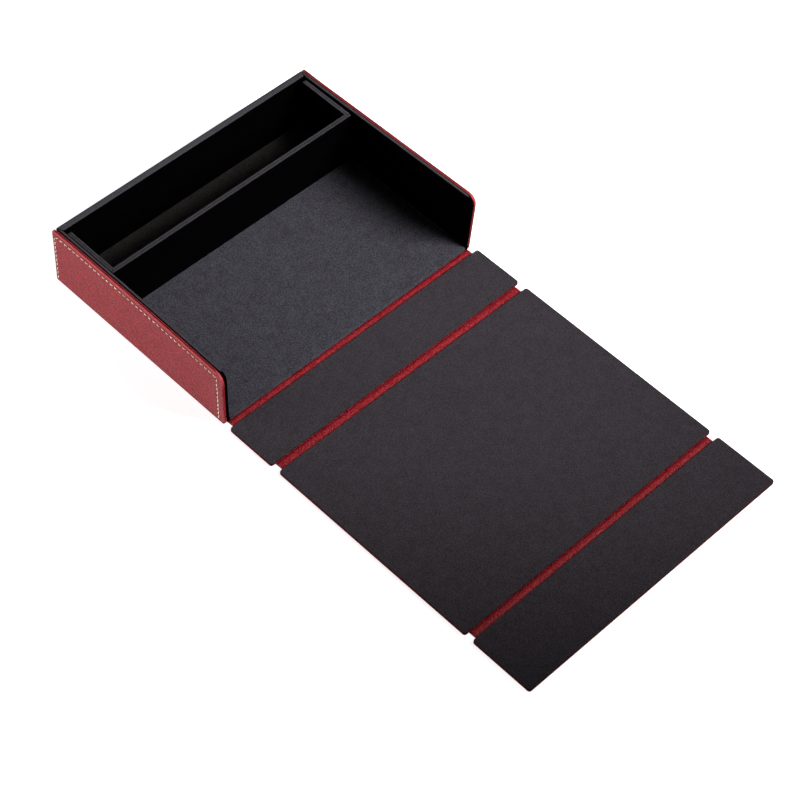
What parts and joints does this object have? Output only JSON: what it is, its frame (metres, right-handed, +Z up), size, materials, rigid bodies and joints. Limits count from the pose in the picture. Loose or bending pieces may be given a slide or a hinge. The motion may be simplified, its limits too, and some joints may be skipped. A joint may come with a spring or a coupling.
{
  "type": "folding dice box",
  "caption": "Low open-fronted dice box with stitched red leatherette sides, a fold-over panel cover on hinge strips and a lift-out compartment tray, lined in dark suede.",
  "frame": {"origin": "centre of the box's underside, on the surface it stands on", "axes": "+X along the hinges to the box's right seen from its open front, +Y towards the back wall, away from the cover, +Z up"},
  "size_m": [0.1918, 0.3694, 0.041],
  "materials": {
    "red_leatherette": "fine pebble grain, satin",
    "black_leatherette": "fine grain, satin",
    "black_wrapped_board": "grey board wrapped in black suede cloth",
    "black_suede": "short napped microfibre suede",
    "cream_thread": "polished cream sewing thread",
    "grey_board": "raw grey board, hidden",
    "magnet_steel": "nickel-plated disc magnets, hidden",
    "tray_covering": "board wrapped in black cloth"
  },
  "bodies": {
    "box": {"base_skin": "red_leatherette", "floor_board": "grey_board", "floor_lining": "black_suede", "left_wall_lining": "black_suede", "right_wall_lining": "black_suede", "left_wall_board": "black_wrapped_board", "right_wall_board": "black_wrapped_board", "left_panel_stiffener": "grey_board", "right_panel_stiffener": "grey_board", "left_panel_skin": "red_leatherette", "right_panel_skin": "red_leatherette", "left_stitching": "cream_thread", "right_stitching": "cream_thread", "back_wall_lining": "black_suede", "back_wall_board": "black_wrapped_board", "back_wall_skin": "black_leatherette", "back_wall_magnets": "magnet_steel", "front_strip_rear_half": "red_leatherette"},
    "front_panel": {"front_strip_fore_half": "red_leatherette", "front_panel_skin": "red_leatherette", "front_panel_board": "grey_board", "front_panel_lining": "black_suede", "lid_strip_rear_half": "red_leatherette"},
    "lid": {"lid_strip_fore_half": "red_leatherette", "lid_skin": "red_leatherette", "lid_board": "grey_board", "lid_lining": "black_suede", "flap_strip_rear_half": "red_leatherette"},
    "flap": {"flap_strip_fore_half": "red_leatherette", "flap_skin": "red_leatherette", "flap_board": "grey_board", "flap_lining": "black_suede", "flap_magnets": "magnet_steel"},
    "tray": {"tray_board": "tray_covering", "tray_base_lining": "tray_covering", "tray_front_wall": "tray_covering", "tray_front_lining": "tray_covering", "tray_left_wall": "tray_covering", "tray_left_lining": "tray_covering", "tray_right_wall": "tray_covering", "tray_right_lining": "tray_covering"}
  },
  "joints": [
    {"name": "front_hinge", "type": "hinge", "parent": "box", "child": "front_panel", "pos_m": [0, -0.07185, 0.001], "axis": [-1, 0, 0], "range_deg": [0, 90]},
    {"name": "lid_hinge", "type": "hinge", "parent": "front_panel", "child": "lid", "pos_m": [0, -0.11345, 0.001], "axis": [-1, 0, 0], "range_deg": [0, 90]},
    {"name": "flap_hinge", "type": "hinge", "parent": "lid", "child": "flap", "pos_m": [0, -0.25715, 0.001], "axis": [-1, 0, 0], "range_deg": [0, 90]},
    {"name": "tray_lift", "type": "slide", "parent": "box", "child": "tray", "axis": [0, 0, 1], "range_m": [0, 0.06]}
  ]
}
